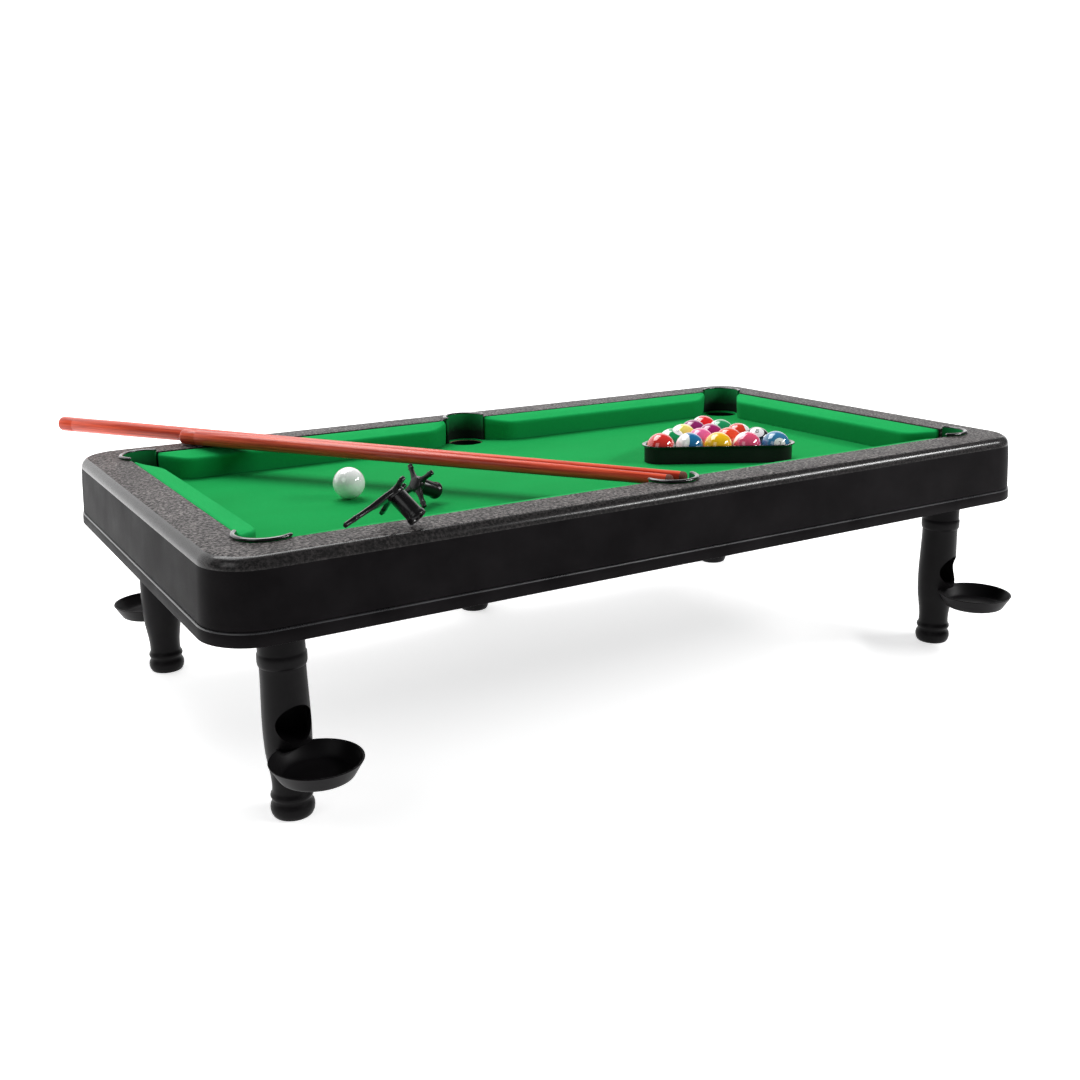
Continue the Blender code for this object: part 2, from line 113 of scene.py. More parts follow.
# Rack and balls
RACK_FRONT = Vector((140 * MM, -45.5 * MM))
RACK_TURN = math.radians(-30)
RACK_PITCH = 2 * BALL_R + GAP
RACK_WALL = 1.5 * MM
CUE_BALL_AT = Vector((-185.4 * MM, 1.0 * MM))
BALL_Z = CLOTH_TOP + BALL_R + GAP
# Half angles, in degrees, of a stripe and of the two sizes of number spot
STRIPE_HALF = 37.5
SPOT_HALF = 24
BIG_SPOT_HALF = 30
SPOT_PROUD = 0.02 * MM
NUMBER_PROUD = 0.05 * MM
# Text sizes for numbers of one and of two digits
ONE_DIGIT = 5.4 * MM
TWO_DIGITS = 4.4 * MM

# Cues
CUE_BUTT_R = 6.4 * MM
CUE_TIP_R = 4.2 * MM
CUE_TIP_LENGTH = 5 * MM

# Each leg: its place, and the compass angle that its exit hole and dish face
LEGS = {
    "front_left": (-LEG_X + 2 * MM, -LEG_Y, -81),
    "front_right": (LEG_X + 2 * MM, -LEG_Y, -75),
    "back_left": (-LEG_X, LEG_Y, 92),
    "back_middle": (0, LEG_Y, 90),
    "back_right": (LEG_X, LEG_Y, 90),
}
# Each pocket: its hole, and the compass angle from the hole to the middle of its curved wall
POCKETS = {
    "front_left": (-POCKET_X, -POCKET_Y, -135),
    "front_middle": (0, -MIDDLE_Y, -90),
    "front_right": (POCKET_X, -POCKET_Y, -45),
    "back_left": (-POCKET_X, POCKET_Y, 135),
    "back_middle": (0, MIDDLE_Y, 90),
    "back_right": (POCKET_X, POCKET_Y, 45),
}
CORNER_SWEEP = 168
MIDDLE_SWEEP = 184

# Each cue: the middle of its butt and of its tip, in millimetres
CUES = {
    "cue_long": ((-338.5, 304.5, 63), (12, -166, 53.5)),
    "cue_short": ((-262.6, 180.9, 61.3), (0, -165, 52.5)),
}
# Rest heads' arms, in millimetres: those longer than LONG_ARM start wide
LONG_ARM = 30
WIDE_ARM = 10
NARROW_ARM = 6.5
# Each rest head: its hub in millimetres, which way its socket points, which way its first arm
# points, and how far its four arms reach in millimetres
REST_HEADS = {
    "rest_head_near": ((-224.5, -171.6, 74.3), (0.427, -0.6, -0.676),
                       (-0.903, -0.319, -0.287), (44, 25, 10, 17)),
    "rest_head_far": ((-153.3, -52.4, 48.6), (0.865, 0.31, -0.395),
                      (-0.499, 0.625, -0.6), (20, 18, 17, 21)),
}

# Directions seen from the front left: to the viewer's right, up, and towards the viewer
TO_RIGHT = Vector((0.858, -0.514, 0))
UP = Vector((0, 0, 1))
TO_VIEWER = Vector((-0.49, -0.82, 0.29))

# Ball colours (linear)
IVORY = (0.95, 0.95, 0.94)
RED = (0.76, 0.030, 0.022)
BLUE = (0.010, 0.165, 0.390)
YELLOW = (1.0, 0.56, 0.003)
PINK = (0.84, 0.085, 0.200)
NAVY = (0.030, 0.200, 0.400)
GREEN = (0.004, 0.340, 0.100)
ROSE = (0.84, 0.130, 0.340)
ORANGE = (0.86, 0.068, 0.022)
BLACK = (0.008, 0.008, 0.010)
GOLD = (0.90, 0.74, 0.160)
PURPLE = (0.36, 0.012, 0.140)
VERMILION = (0.70, 0.045, 0.014)
VIOLET = (0.28, 0.012, 0.140)
EMERALD = (0.008, 0.310, 0.110)
SCARLET = (0.80, 0.014, 0.018)

# The racked balls, row by row from the row behind the front wall: node, colour, number, whether it
# is striped, its pole (the middle of a white cap on a striped ball) and where its number faces,
# both as (right, up, towards the viewer)
RACKED = [
    [("red", RED, "3", False, (0, 1, 0), (0.9, -0.2, 0.3)),
     ("blue", BLUE, "10", True, (-0.86, 0.25, 0.42), (-0.45, -0.4, 0.8)),
     ("yellow", YELLOW, "1", False, (0, 1, 0), (0.2, 0.2, -1)),
     ("pink", PINK, "12", True, (-0.55, 0.72, -0.42), (-0.9, -0.2, 0.2)),
     ("navy", NAVY, "2", False, (0, 1, 0), (0.12, 0.0, 1))],
    [("green", GREEN, "14", True, (-0.92, 0.36, 0.1), (-0.2, 1, 0.4)),
     ("rose", ROSE, "4", False, (0, 1, 0), (0.3, -1, 0.2)),
     ("orange", ORANGE, "5", False, (0, 1, 0), (-0.5, -1, 0.3)),
     ("black", BLACK, "8", False, (0, 1, 0), (-0.1, 0.8, 0.75))],
    [("gold", GOLD, "9", True, (-0.86, 0.5, -0.1), (0.1, -1, 0.5)),
     ("purple", PURPLE, "7", False, (0, 1, 0), (0.4, -1, 0.2)),
     ("vermilion", VERMILION, "13", True, (0.94, 0.34, 0.0), (-0.2, -1, 0.3))],
    [("violet", VIOLET, "15", False, (0, 1, 0), (0.5, -0.9, 0.1)),
     ("emerald", EMERALD, "6", True, (-0.8, 0.5, -0.4), (0.1, -1, 0.2))],
    [("scarlet", SCARLET, "11", True, (-0.8, 0.5, -0.4), (0.2, -1, 0.2))],
]


# ---------------------------------------------------------------- mesh helpers

def loft(rings, closed=False):
    """Skin a run of rings, each with the same number of points."""
    bm = bmesh.new()
    rows = [[bm.verts.new(point) for point in ring] for ring in rings]
    following = rows[1:] + rows[:1] if closed else rows[1:]
    for row, after in zip(rows, following):
        for i in range(len(row)):
            j = (i + 1) % len(row)
            bm.faces.new((row[i], row[j], after[j], after[i]))
    if not closed:
        bm.faces.new(rows[0])
        bm.faces.new(rows[-1])
    return bm


def rounded_rectangle(half_x, half_y, radius, steps=16):
    """Points anticlockwise round a rectangle with rounded corners."""
    points = []
    for corner, (sx, sy) in enumerate(((1, 1), (-1, 1), (-1, -1), (1, -1))):
        for step in range(steps + 1):
            angle = math.pi / 2 * (corner + step / steps)
            points.append((sx * (half_x - radius) + radius * math.cos(angle),
                           sy * (half_y - radius) + radius * math.sin(angle)))
    return points


def nested(levels, closed):
    """Loft rounded rectangles of the table's outline, each given as (inset, z)."""
    return loft([[(x, y, z) for x, y in rounded_rectangle(
        LENGTH / 2 - inset, WIDTH / 2 - inset, max(CORNER_R - inset, 0.6 * MM))]
        for inset, z in levels], closed)


def turned(profile, segments=64):
    """Spin a (radius, z) profile once round the Z axis; one off the axis is a closed ring."""
    bm = bmesh.new()
    verts = [bm.verts.new((r, 0, z)) for r, z in profile]
    ring = profile[0][0] > 0
    ends = zip(verts, verts[1:] + verts[:1]) if ring else zip(verts, verts[1:])
    edges = [bm.edges.new(pair) for pair in ends]
    bmesh.ops.spin(bm, geom=verts + edges, cent=(0, 0, 0), axis=(0, 0, 1), angle=2 * math.pi,
                   steps=segments, use_merge=True)
    bmesh.ops.remove_doubles(bm, verts=bm.verts, dist=0.0005 * MM)
    return bm


def flowing(points, steps=5):
    """A smooth curve through points, as a finer list of points."""
    points = [Vector(p) for p in points]
    run = [2 * points[0] - points[1]] + points + [2 * points[-1] - points[-2]]
    fine = []
    for a, b, c, d in zip(run, run[1:], run[2:], run[3:]):
        for step in range(steps):
            t = step / steps
            fine.append(0.5 * (2 * b + (c - a) * t + (2 * a - 5 * b + 4 * c - d) * t * t +
                               (3 * b - a - 3 * c + d) * t ** 3))
    return fine + [points[-1]]


def arc(centre, radius, start, end, steps):
    """Points (a, b) along an arc between two angles in degrees."""
    turns = (math.radians(start + (end - start) * i / steps) for i in range(steps + 1))
    return [(centre[0] + radius * math.cos(t), centre[1] + radius * math.sin(t)) for t in turns]


def cylinder(radius, low, high, segments=64, centre=(0, 0), radius_high=None):
    """An upright cylinder, or a cone when its upper radius is given too."""
    bm = bmesh.new()
    top = radius if radius_high is None else radius_high
    place = Matrix.Translation((centre[0], centre[1], (low + high) / 2))
    bmesh.ops.create_cone(bm, cap_ends=True, segments=segments, radius1=radius, radius2=top,
                          depth=high - low, matrix=place)
    return bm


def into(bm, other, material=0):
    """Add another bmesh to bm, with its faces on one material slot."""
    mesh = bpy.data.meshes.new("part")
    other.to_mesh(mesh)
    other.free()
    known = len(bm.faces)
    bm.from_mesh(mesh)
    bm.faces.ensure_lookup_table()
    for face in bm.faces[known:]:
        face.material_index = material
    bpy.data.meshes.remove(mesh)


def solid(name, bm, *materials, sharp=35, recalculate=True):
    """Link a finished bmesh as an object, shaded smooth with crisp edges."""
    mesh = bpy.data.meshes.new(name)
    if recalculate:
        bmesh.ops.recalc_face_normals(bm, faces=bm.faces)
    bm.to_mesh(mesh)
    bm.free()
    for material in materials:
        mesh.materials.append(material)
    mesh.shade_smooth()
    mesh.set_sharp_from_angle(angle=math.radians(sharp))
    obj = bpy.data.objects.new(name, mesh)
    bpy.context.scene.collection.objects.link(obj)
    return obj


def apply(obj, sharp=35):
    """Bake the object's modifiers into its mesh."""
    graph = bpy.context.evaluated_depsgraph_get()
    mesh = bpy.data.meshes.new_from_object(obj.evaluated_get(graph))
    obj.modifiers.clear()
    old, obj.data = obj.data, mesh
    bpy.data.meshes.remove(old)
    mesh.name = obj.name
    mesh.shade_smooth()
    mesh.set_sharp_from_angle(angle=math.radians(sharp))


def cut(obj, cutters, sharp=35):
    """Take each cutter's solid, given in the object's own frame, out of the object."""
    guides = []
    for bm in cutters:
        guide = solid("guide", bm)
        guide.matrix_world = obj.matrix_world
        modifier = obj.modifiers.new("cut", "BOOLEAN")
        modifier.operation = "DIFFERENCE"
        modifier.object = guide
        modifier.solver = "EXACT"
        guides.append(guide)
    bpy.context.view_layer.update()
    apply(obj, sharp)
    for guide in guides:
        bpy.data.objects.remove(guide)


def place(obj, body, slot, *nodes):
    """Fix a piece to its CAD body and hide the CAD nodes that it stands for; slot is not used."""
    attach(obj, body)
    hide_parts(*nodes)


# ---------------------------------------------------------------- materials

class Shader:
    """A Principled material with short calls for adding and linking texture nodes."""

    def __init__(self, name, colour, roughness, **constants):
        self.material = bpy.data.materials.new(name)
        self.material.use_nodes = True
        self.tree = self.material.node_tree
        self.bsdf = self.tree.nodes["Principled BSDF"]
        self.bsdf.inputs["Base Color"].default_value = (*colour, 1)
        self.bsdf.inputs["Roughness"].default_value = roughness
        for key, value in constants.items():
            self.bsdf.inputs[key.replace("_", " ")].default_value = value
        self.coordinates = self.tree.nodes.new("ShaderNodeTexCoord").outputs["Object"]

    def node(self, kind, inputs=None, **settings):
        """Add a node; an input that is a socket is linked, any other is set."""
        node = self.tree.nodes.new("ShaderNode" + kind)
        for key, value in settings.items():
            setattr(node, key, value)
        for key, value in (inputs or {}).items():
            if isinstance(value, bpy.types.NodeSocket):
                self.tree.links.new(value, node.inputs[key])
            else:
                node.inputs[key].default_value = value
        return node

    def stretched(self, scale):
        """The object's coordinates, scaled differently along each axis."""
        return self.node("Mapping", {"Vector": self.coordinates, "Scale": scale}).outputs["Vector"]

    def noise(self, scale, detail=4.0, rough=0.55, vector=None, distortion=0.0):
        inputs = {"Vector": vector or self.coordinates, "Scale": scale, "Detail": detail,
                  "Roughness": rough, "Distortion": distortion}
        return self.node("TexNoise", inputs).outputs["Fac"]

    def voronoi(self, scale):
        """Distance to the nearest edge between cells."""
        return self.node("TexVoronoi", {"Vector": self.coordinates, "Scale": scale},
                         feature="DISTANCE_TO_EDGE").outputs["Distance"]

    def remap(self, value, low, high, to_low=0.0, to_high=1.0):
        """Carry the range from low to high over to another, without going past its ends."""
        inputs = {"Value": value, "From Min": low, "From Max": high, "To Min": to_low,
                  "To Max": to_high}
        return self.node("MapRange", inputs).outputs["Result"]

    def maths(self, operation, a, b):
        return self.node("Math", {0: a, 1: b}, operation=operation).outputs[0]

    def blend(self, factor, a, b):
        """A colour between a and b."""
        return self.node("Mix", {"Factor": factor, 6: a, 7: b}, data_type="RGBA").outputs[2]

    def bump(self, height, strength, distance):
        """A normal that follows a height."""
        inputs = {"Height": height, "Strength": strength, "Distance": distance}
        return self.node("Bump", inputs).outputs["Normal"]

    def set(self, **sockets):
        """Link textures to the surface shader's sockets, and give back the material."""
        for key, value in sockets.items():
            self.tree.links.new(value, self.bsdf.inputs[key.replace("_", " ")])
        return self.material


def grained_black(name, dark, painted_glint, roughness, specular, depth):
    """Embossed leather grain on black plastic: fine pebbles whose tops are painted lighter as a painted
    glint.

    The first colour lies between the pebbles and the second on their tops as a painted glint; depth is
    how strong the relief is.
    """
    s = Shader(name, dark, roughness, Specular_IOR_Level=specular)
    speckle = s.remap(s.noise(460, 3, 0.7), 0.42, 0.66)
    pebbles = s.remap(s.voronoi(620), 0.02, 0.30)
    patches = s.remap(s.noise(45, 4, 0.7), 0.3, 0.7, 0.55, 1.25)
    height = s.maths("ADD", s.maths("MULTIPLY", speckle, 0.7), s.maths("MULTIPLY", pebbles, 0.4))
    # Painted glint: the pebble tops are coloured lighter, standing in for reflections off the grain.
    tint = s.blend(s.maths("MULTIPLY", speckle, patches), (*dark, 1), (*painted_glint, 1))
    rough = s.maths("ADD", s.maths("MULTIPLY", speckle, -0.10), roughness + 0.06)
    return s.set(Base_Color=tint, Roughness=rough, Normal=s.bump(height, depth, 0.34 * MM))


def satin_black(name, colour, roughness, specular):
    """Moulded satin plastic with a fine spark texture and faint patches of polish."""
    s = Shader(name, colour, roughness, Specular_IOR_Level=specular)
    patches = s.noise(24, 4)
    spark = s.noise(1700, 2, 0.7)
    lifted = tuple(min(1, c * 1.7 + 0.002) for c in colour)
    tint = s.blend(s.remap(patches, 0.35, 0.75), (*colour, 1), (*lifted, 1))
    rough = s.maths("ADD", s.remap(patches, 0.3, 0.7, roughness - 0.05, roughness + 0.07),
                    s.remap(spark, 0.3, 0.7, -0.03, 0.03))
    return s.set(Base_Color=tint, Roughness=rough, Normal=s.bump(spark, 0.10, 0.06 * MM))


def gloss_black():
    """Polished injection-moulded plastic with hairline scuffs."""
    s = Shader("gloss_black", (0.005, 0.005, 0.006), 0.12, Coat_Weight=0.5, Coat_Roughness=0.06)
    scuffs = s.noise(1.0, 3, 0.6, s.stretched((2600, 240, 900)))
    waves = s.noise(90, 2)
    rough = s.remap(scuffs, 0.45, 0.75, 0.08, 0.24)
    return s.set(Roughness=rough, Normal=s.bump(waves, 0.08, 0.25 * MM))


def pocket_flock_painted_shade():
    """Green flocking with painted shade that darkens it down the pocket's wall."""
    s = Shader("pocket_flock_painted_shade", (0.008, 0.20, 0.05), 0.95, Specular_IOR_Level=0.05)
    # Painted shade: the colour runs from green at the top to near black low in the pocket's recess.
    up = s.node("SeparateXYZ", {0: s.coordinates}).outputs["Z"]
    painted_depth_shade = s.remap(s.maths("ADD", up, s.maths("MULTIPLY", s.noise(160, 3), 0.006)), 0.042, 0.064)
    return s.set(Base_Color=s.blend(painted_depth_shade, (0.008, 0.016, 0.010, 1), (0.010, 0.24, 0.065, 1)),
                 Normal=s.bump(s.noise(2200, 3), 0.4, 0.2 * MM))


def felt(name, deep, light, nap, shade):
    """Short-pile green cloth: matted fibres, a soft nap, small changes of tone and painted shade down a
    cushion's sides.

    shade is how far painted shade darkens the cloth down the sides of a cushion, from 0 for not at all
    to 1.
    """
    s = Shader(name, light, 0.92, Sheen_Weight=0.03, Sheen_Roughness=0.45,
               Sheen_Tint=(0.3, 1.0, 0.55, 1), Specular_IOR_Level=0.06)
    fibres = s.noise(1.0, 5, 0.75, s.stretched((2400, 1500, 2400)), 1.2)
    clumps = s.noise(420, 3, 0.6)
    swathes = s.noise(9, 3, 0.5, s.stretched((1.0, 2.2, 1.0)))
    mixed = s.maths("ADD", s.maths("MULTIPLY", s.remap(fibres, 0.3, 0.7), 0.45),
                    s.maths("MULTIPLY", s.remap(clumps, 0.3, 0.7), 0.25))
    mixed = s.maths("ADD", mixed, s.remap(swathes, 0.3, 0.7, 0.0, 0.3))
    height = s.maths("ADD", fibres, s.maths("MULTIPLY", clumps, 0.7))
    tint = s.blend(mixed, (*deep, 1), (*light, 1))
    # Painted shade: the cloth is coloured darker below the cushion's nose, where its sides fall in
    # shade.
    up = s.node("SeparateXYZ", {0: s.coordinates}).outputs["Z"]
    side = s.remap(up, CUSHION_NOSE - 4 * MM, CUSHION_NOSE - 0.5 * MM, shade, 0.0)
    tint = s.blend(side, tint, tuple(c * 0.55 for c in deep) + (1,))
    return s.set(Base_Color=tint, Normal=s.bump(height, nap, 0.25 * MM))


def cue_wood():
    """Stained and varnished wood with its grain along the cue."""
    s = Shader("cue_wood", (0.50, 0.06, 0.02), 0.36, Coat_Weight=0.2, Coat_Roughness=0.22,
               Specular_IOR_Level=0.3)
    broad = s.noise(1.0, 4, 0.6, s.stretched((330, 330, 9)), 0.6)
    pores = s.noise(1.0, 2, 0.6, s.stretched((2600, 2600, 55)))
    tone = s.maths("ADD", s.remap(broad, 0.32, 0.68, 0.0, 0.9), s.remap(pores, 0.55, 0.75, 0.0, -0.4))
    tint = s.blend(tone, (0.34, 0.016, 0.006, 1), (0.96, 0.125, 0.052, 1))
    rough = s.remap(broad, 0.3, 0.7, 0.26, 0.40)
    return s.set(Base_Color=tint, Roughness=rough, Normal=s.bump(pores, 0.12, 0.12 * MM))


def ball_gloss(name, colour):
    """Cast resin, polished, with a few handling marks."""
    s = Shader(name, colour, 0.08, Coat_Weight=0.8, Coat_Roughness=0.03, Specular_IOR_Level=0.6)
    cloud = s.noise(70, 3)
    marks = s.noise(1.0, 4, 0.7, s.stretched((900, 260, 420)))
    deeper = tuple(c * 0.86 for c in colour)
    tint = s.blend(s.remap(cloud, 0.35, 0.7), (*deeper, 1), (*colour, 1))
    return s.set(Base_Color=tint, Roughness=s.remap(marks, 0.5, 0.8, 0.07, 0.2))


def print_black():
    """Black ink for the numbers."""
    s = Shader("number_print", (0.010, 0.010, 0.012), 0.2)
    return s.set(Roughness=s.remap(s.noise(800, 2), 0.3, 0.7, 0.14, 0.3))


def board():
    """Fibreboard with short flecks."""
    s = Shader("fibreboard", (0.30, 0.20, 0.11), 0.75)
    flecks = s.noise(1.0, 4, 0.7, s.stretched((900, 900, 260)))
    return s.set(Base_Color=s.blend(flecks, (0.17, 0.11, 0.06, 1), (0.42, 0.30, 0.18, 1)),
                 Normal=s.bump(flecks, 0.3, 0.3 * MM))


def tip_leather():
    """Pressed brown leather, rubbed dark."""
    s = Shader("cue_tip_leather", (0.12, 0.035, 0.018), 0.8)
    rubbed = s.noise(1500, 4)
    tint = s.blend(s.remap(rubbed, 0.4, 0.6), (0.05, 0.016, 0.010, 1), (0.20, 0.050, 0.024, 1))
    return s.set(Base_Color=tint, Normal=s.bump(rubbed, 0.5, 0.2 * MM))


def studio_floor_material():
    """Pale seamless paper that glows with painted light, more under the table and more still towards the
    back.
    """
    s = Shader("studio_paper_painted_glow", (0.86, 0.86, 0.86), 0.9, Specular_IOR_Level=0.1)
    far = s.node("SeparateXYZ", {0: s.coordinates}).outputs["Y"]
    # Painted light: the paper emits, weaker in front of the table and stronger under it and towards the
    # back.
    front = s.remap(far, -0.95, -0.55, 0.20, 0.56)
    painted_glow = s.maths("MULTIPLY", front, s.remap(far, -0.6, 1.4, 1.0, 1.7))
    s.bsdf.inputs["Emission Color"].default_value = (1, 1, 1, 1)
    return s.set(Emission_Strength=painted_glow, Normal=s.bump(s.noise(700, 2), 0.03, 0.1 * MM))


# Rail deck and its rounded edge, both with painted glints, the skirt and base, the parting ledge with a
# painted highlight, legs with chutes and dishes, rest heads, the rack's wall, then pocket lips and the
# rack's flange
GRAIN = grained_black("rail_grain", (0.012, 0.011, 0.011), (0.24, 0.22, 0.215), 0.38, 0.05, 0.9)
EDGE = grained_black("rail_edge", (0.010, 0.0095, 0.0095), (0.045, 0.041, 0.041), 0.19, 0.30, 0.025)
SKIRT = satin_black("skirt_black", (0.006, 0.0053, 0.0058), 0.46, 0.025)
# The ledge black is lighter than the skirt's: a glossier finish, and a painted highlight along the
# parting line.
LEDGE = satin_black("ledge_black_painted_highlight", (0.03, 0.03, 0.032), 0.30, 0.8)
SATIN = satin_black("leg_black", (0.005, 0.0045, 0.005), 0.38, 0.09)
REST = satin_black("rest_black", (0.004, 0.0036, 0.004), 0.24, 0.35)
MATT = satin_black("rack_black", (0.012, 0.0095, 0.011), 0.40, 0.16)
GLOSS = gloss_black()
CLOTH = felt("bed_felt", (0.003, 0.235, 0.046), (0.006, 0.325, 0.073), 0.35, 0.0)
# The cushion felt is the bed's cloth coloured lighter, painted light on the cushion tops, with painted
# shade down their sides.
CUSHION_CLOTH_PAINTED_LIGHT_AND_SHADE = felt("cushion_felt_painted_light_and_shade", (0.004, 0.285, 0.064), (0.013, 0.400, 0.100), 0.45, 0.55)
FLOCK = pocket_flock_painted_shade()
WOOD = cue_wood()
WHITE = ball_gloss("ball_white", IVORY)
NUMBER = print_black()
BOARD = board()
TIP = tip_leather()


# ---------------------------------------------------------------- table

def outset(z):
    """How far the drafted outer wall stands outside the top outline at a level."""
    return (RAIL_TOP - z) * DRAFT


def rail_frame():
    """The moulded frame: drafted skirt, rounded grained edge, flat deck and short inner wall."""
    low = PARTING + GAP
    rounded = [(EDGE_R - EDGE_R * math.sin(a), RAIL_TOP - EDGE_R + EDGE_R * math.cos(a))
               for a in (math.radians(90 - 9 * i) for i in range(11))]
    levels = [(0.5 * MM - outset(low), low), (-outset(low), low + 0.6 * MM), (-outset(20 * MM), 20 * MM),
              (-outset(34 * MM), 34 * MM)] + rounded
    inner = 0.8 * MM
    levels += [(RAIL_W - inner, RAIL_TOP), (RAIL_W - inner * 0.3, RAIL_TOP - inner * 0.3)]
    levels += [(RAIL_W, RAIL_TOP - inner), (RAIL_W, CLOTH_TOP + GAP)]
    levels += [(RAIL_W - WALL, CLOTH_TOP + GAP), (RAIL_W - WALL, RAIL_TOP - WALL)]
    levels += [(WALL + EDGE_R / 2, RAIL_TOP - WALL), (WALL, RAIL_TOP - EDGE_R)]
    levels += [(WALL - outset(low), low)]
    bm = nested(levels, True)
    obj = solid("rail_frame_moulding", bm, GRAIN, SKIRT, EDGE)
    for face in obj.data.polygons:
        if face.center.z < RAIL_TOP - EDGE_R - 0.2 * MM:
            face.material_index = 1
        elif face.center.z < RAIL_TOP - 0.3 * MM:
            face.material_index = 2
    cut(obj, [cylinder(RIM_R + RIM_T + GAP, CLOTH_TOP - 5 * MM, RAIL_TOP + 5 * MM, 72, (x, y))
              for x, y, _ in POCKETS.values()])
    place(obj, "table", "rail_black", "rail_frame")


def base_pan():
    """The tray under the frame, with a proud band round it and a socket for each leg."""
    foot, top = -outset(0) - BAND, -outset(PARTING) - BAND
    levels = [(foot + 1.2 * MM, 0), (foot + 0.35 * MM, 0.35 * MM), (foot, 1.2 * MM),
              (top, PARTING - 0.9 * MM), (top + 0.3 * MM, PARTING - 0.25 * MM),
              (top + 0.9 * MM, PARTING), (MM, PARTING), (MM, PAN_T)]
    obj = solid("base_pan_moulding", nested(levels, False), SKIRT, LEDGE)
    # The band's top edge takes the ledge black, with its painted highlight.
    for face in obj.data.polygons:
        if face.center.z > PARTING - 0.75 * MM:
            face.material_index = 1
    collars = bmesh.new()
    for x, y, _ in LEGS.values():
        collar = turned([(SOCKET_R, 0.4 * MM), (SOCKET_R + SOCKET_WALL, 0.4 * MM),
                         (SOCKET_R + SOCKET_WALL, LEG_TOP - MM), (SOCKET_R, LEG_TOP - MM)])
        bmesh.ops.translate(collar, verts=collar.verts, vec=(x, y, 0))
        into(collars, collar)
    cut(obj, [cylinder(SOCKET_R, -5 * MM, PAN_T + 5 * MM, 64, (x, y)) for x, y, _ in LEGS.values()])
    place(obj, "table", "rail_black", "base_pan")
    collar = solid("leg_sockets", collars, SKIRT)
    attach(collar, "table")


def bed_cloth():
    """The cloth, one sheet that turns down over the edge of every pocket hole."""
    half_x, half_y = INNER_X + BED_MARGIN, INNER_Y + BED_MARGIN
    bm = bmesh.new()

    def outline(points, z):
        verts = [bm.verts.new((x, y, z)) for x, y in points]
        return verts, [bm.edges.new((a, b)) for a, b in zip(verts, verts[1:] + verts[:1])]

    _, edges = outline(rounded_rectangle(half_x, half_y, BED_CORNER_R, 8), CLOTH_TOP)
    rolled = [(HOLE_R + 0.9 * MM, 0), (HOLE_R + 0.35 * MM, -0.12 * MM), (HOLE_R + 0.1 * MM, -0.45 * MM),
              (HOLE_R, -1.2 * MM), (HOLE_R, -2.4 * MM)]
    holes = []
    for x, y, _ in POCKETS.values():
        rings = []
        for radius, drop in rolled:
            points = [(x + radius * math.cos(t), y + radius * math.sin(t))
                      for t in (2 * math.pi * i / 64 for i in range(64))]
            if not rings:
                verts, ring_edges = outline(points, CLOTH_TOP)
                edges += ring_edges
            else:
                verts = [bm.verts.new((px, py, CLOTH_TOP + drop)) for px, py in points]
            rings.append(verts)
        holes.append(rings)
    bmesh.ops.triangle_fill(bm, use_beauty=True, use_dissolve=False, edges=edges)
    for rings in holes:
        for row, after in zip(rings, rings[1:]):
            for i in range(len(row)):
                j = (i + 1) % len(row)
                bm.faces.new((row[i], row[j], after[j], after[i]))
    bmesh.ops.recalc_face_normals(bm, faces=bm.faces)
    if sum(f.normal.z * f.calc_area() for f in bm.faces) < 0:
        bmesh.ops.reverse_faces(bm, faces=bm.faces)
    obj = solid("bed_cloth_sheet", bm, CLOTH, recalculate=False)
    modifier = obj.modifiers.new("thickness", "SOLIDIFY")
    modifier.thickness = CLOTH_T
    modifier.offset = -1
    bpy.context.view_layer.update()
    apply(obj, 50)
    place(obj, "table", "felt", "bed_cloth")


def ripple(t, phase):
    """A small smooth irregular wave, from -1 to 1, that is the same on each run."""
    return (math.sin(t * 61 + phase) + 0.7 * math.sin(t * 137 + 2.3 * phase) +
            0.5 * math.sin(t * 263 + 4.1 * phase)) / 2.2


def cushion_section(width, top_scale, wave):
    """The (y, z) outline of a cushion across its length: undercut face, round nose, crowned top."""
    nose_z = CUSHION_BACK - (CUSHION_BACK - CUSHION_NOSE) * width / CUSHION_W
    points = [(0.3 * MM, CLOTH_TOP + GAP), (width - 1.3 * MM, CLOTH_TOP + GAP),
              (width - 0.9 * MM, CLOTH_TOP + 5 * MM), (width - 0.3 * MM, CLOTH_TOP + 11 * MM)]
    points += arc((width - NOSE_R, nose_z - NOSE_R), NOSE_R, 0, 80, 6)
    near, far = width - NOSE_R, min(1.6 * MM, width - NOSE_R)
    for i in range(1, 7):
        t = i / 7
        crown = (0.45 + 0.16 * wave) * MM * math.sin(math.pi * t)
        points.append((near + (far - near) * t, nose_z + (CUSHION_BACK - nose_z) * t + crown))
    points += [(1.2 * MM, CUSHION_BACK - 0.05 * MM), (0.7 * MM, CUSHION_BACK - 0.35 * MM),
               (0.3 * MM, CUSHION_BACK - 1.1 * MM)]
    middle = CLOTH_TOP + CUSHION_MIDDLE
    return [(y + wave * 0.13 * MM * (z > middle) * (y > width / 2), middle + (z - middle) * top_scale)
            for y, z in points]


def cushion_end():
    """How a cushion widens from its end: (distance from the end, width) up to its full width."""
    tip = Vector((0, CUSHION_TIP))
    corner = Vector((CUSHION_MITRE, CUSHION_W))
    start = corner.lerp(tip, 0.4)
    finish = corner + Vector((CUSHION_ROUND, 0))
    run = [tip + (start - tip) * t for t in (0, 0.01, 0.045, 0.11, 0.3, 0.55, 0.8)]
    for i in range(11):
        t = i / 10
        run.append(start.lerp(corner, t).lerp(corner.lerp(finish, t), t))
    return run


